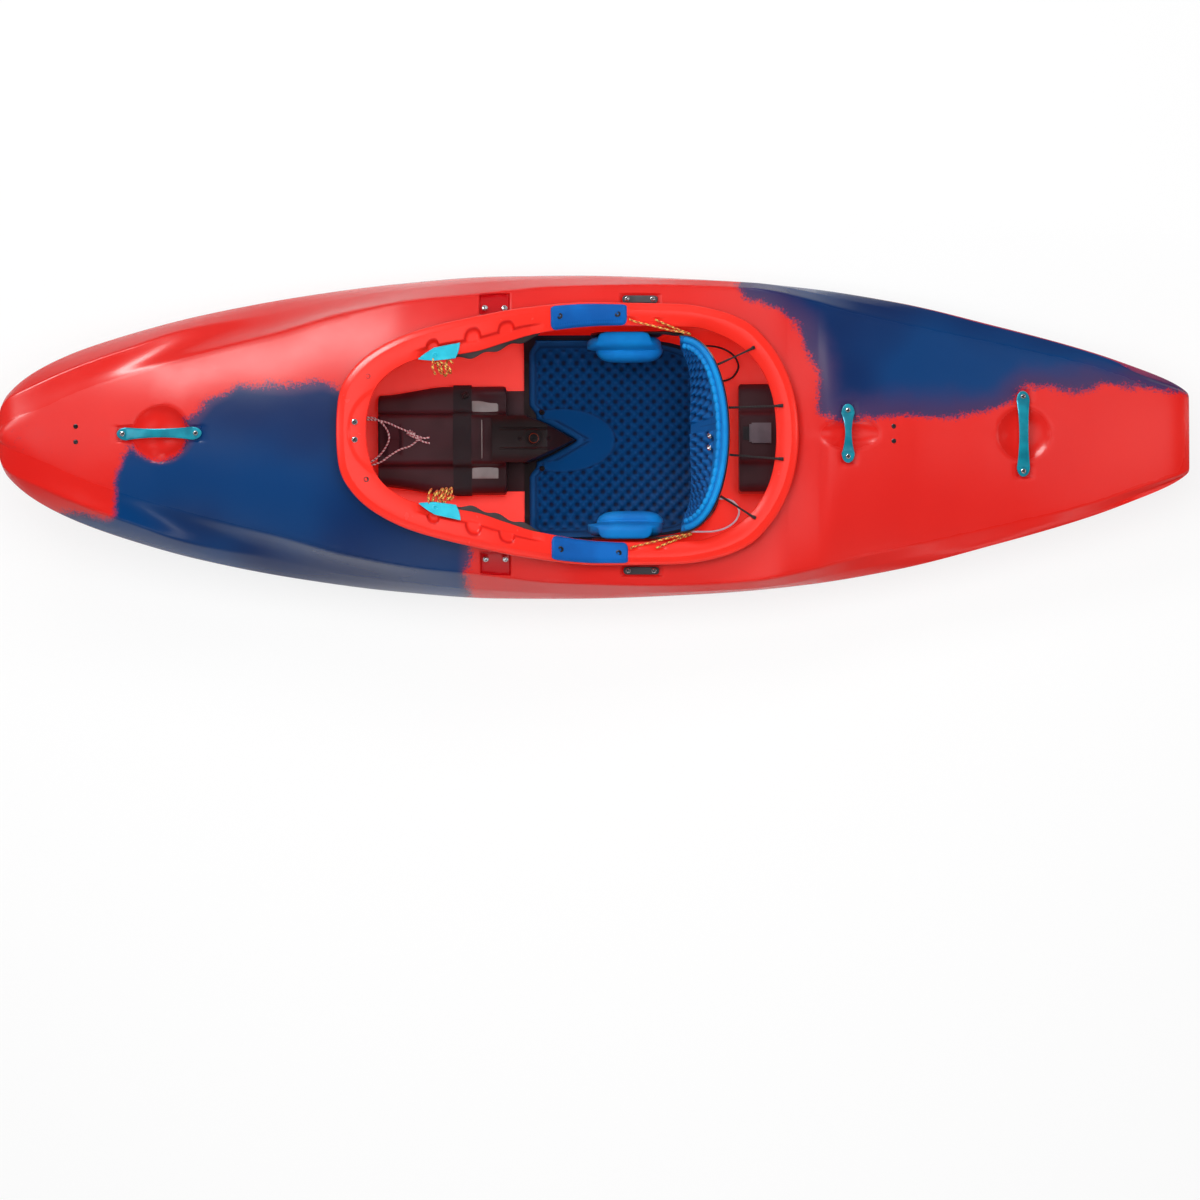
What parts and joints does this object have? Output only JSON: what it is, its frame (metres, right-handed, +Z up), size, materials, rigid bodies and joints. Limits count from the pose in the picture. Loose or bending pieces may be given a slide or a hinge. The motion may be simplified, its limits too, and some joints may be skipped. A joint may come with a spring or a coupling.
{
  "type": "whitewater kayak",
  "caption": "Short plastic whitewater kayak with a raised cockpit rim, sliding seat, hip pads, hinged backband, footrest and deck handles.",
  "frame": {"origin": "centre of the box's base, on the plane that the flat bottom stands on", "axes": "+X towards the stern, +Y towards starboard, +Z up"},
  "size_m": [2.32, 0.637, 0.393],
  "materials": {
    "hull": "satin",
    "handle": "anodised",
    "steel": "satin",
    "dark_metal": "satin",
    "black_plastic": "satin",
    "grey_plastic": "matt",
    "tab_plastic": "gloss",
    "blue_foam": "closed-cell foam",
    "black_foam": "closed-cell foam",
    "grey_foam": "closed-cell foam",
    "webbing": "woven",
    "bungee": "braided",
    "orange_cord": "braided",
    "pale_cord": "braided"
  },
  "bodies": {
    "hull": {"hull_shell": "hull", "bow_handle": "handle", "security_handle": "handle", "stern_handle": "handle", "front_console": "black_plastic", "rear_console": "black_plastic", "console_strap": "webbing", "buckle_webbing": "webbing", "buckle_body": "black_plastic", "bow_pillar": "grey_foam", "stern_pillar": "grey_foam", "grab_cord": "pale_cord", "bow_handle_bolt_front": "steel", "bow_handle_bolt_rear": "steel", "security_handle_bolt_starboard": "steel", "stern_handle_bolt_starboard": "steel", "rim_bolt_starboard": "steel", "thigh_brace_bolt_starboard_front": "steel", "footrest_bolt_starboard_front": "steel", "thigh_brace_bolt_starboard_rear": "steel", "footrest_bolt_starboard_rear": "steel", "rim_pad_starboard": "blue_foam", "thigh_brace_starboard": "black_foam", "seat_side_plate_starboard": "grey_plastic", "footrest_rail_starboard": "black_plastic", "bungee_starboard_outer": "bungee", "bungee_starboard_inner": "bungee", "adjusting_cord_starboard": "orange_cord", "security_handle_bolt_port": "steel", "stern_handle_bolt_port": "steel", "rim_bolt_port": "steel", "thigh_brace_bolt_port_front": "steel", "footrest_bolt_port_front": "steel", "thigh_brace_bolt_port_rear": "steel", "footrest_bolt_port_rear": "steel", "rim_pad_port": "blue_foam", "thigh_brace_port": "black_foam", "seat_side_plate_port": "grey_plastic", "footrest_rail_port": "black_plastic", "bungee_port_outer": "bungee", "bungee_port_inner": "bungee", "adjusting_cord_port": "orange_cord"},
    "seat": {"seat_pan": "black_plastic", "seat_pad": "blue_foam", "seat_tongue": "black_plastic", "hip_bracket_starboard": "black_plastic", "hip_pad_starboard": "blue_foam", "drag_loop_starboard": "pale_cord", "hip_bracket_port": "black_plastic", "hip_pad_port": "blue_foam", "drag_loop_port": "pale_cord"},
    "seat_knob": {"seat_knob": "dark_metal"},
    "backband": {"backband_foam": "blue_foam", "backband_shell": "black_plastic"},
    "footrest": {"footrest_plate": "black_plastic"},
    "buckle_prong": {"buckle_prong": "black_plastic"},
    "pull_tab_starboard": {"pull_tab_starboard": "tab_plastic", "cord_bundle_starboard": "orange_cord"},
    "pull_tab_port": {"pull_tab_port": "tab_plastic", "cord_bundle_port": "orange_cord"}
  },
  "joints": [
    {"name": "seat_slide", "type": "slide", "parent": "hull", "child": "seat", "axis": [1, 0, 0], "range_m": [-0.028, 0.028], "deforming": ["bungee_starboard_outer", "bungee_starboard_inner", "bungee_port_outer", "bungee_port_inner", "adjusting_cord_starboard", "adjusting_cord_port"]},
    {"name": "seat_knob_turn", "type": "hinge", "parent": "seat", "child": "seat_knob", "pos_m": [-0.123, 0, 0.104], "axis": [0, 0, 1], "continuous": true},
    {"name": "backband_tilt", "type": "hinge", "parent": "seat", "child": "backband", "pos_m": [0.163, 0, 0.2], "axis": [0, 1, 0], "range_deg": [-10, 18], "deforming": ["bungee_starboard_outer", "bungee_starboard_inner", "bungee_port_outer", "bungee_port_inner", "adjusting_cord_starboard", "adjusting_cord_port"]},
    {"name": "footrest_slide", "type": "slide", "parent": "hull", "child": "footrest", "axis": [0.9833, 0, -0.1821], "range_m": [-0.05, 0.05], "deforming": ["grab_cord"]},
    {"name": "buckle_prong_slide", "type": "slide", "parent": "hull", "child": "buckle_prong", "axis": [-1, 0, 0], "range_m": [0, 0.025]},
    {"name": "pull_tab_starboard_lift", "type": "slide", "parent": "hull", "child": "pull_tab_starboard", "axis": [0, 0, 1], "range_m": [0, 0.03]},
    {"name": "pull_tab_port_lift", "type": "slide", "parent": "hull", "child": "pull_tab_port", "axis": [0, 0, 1], "range_m": [0, 0.03]}
  ]
}
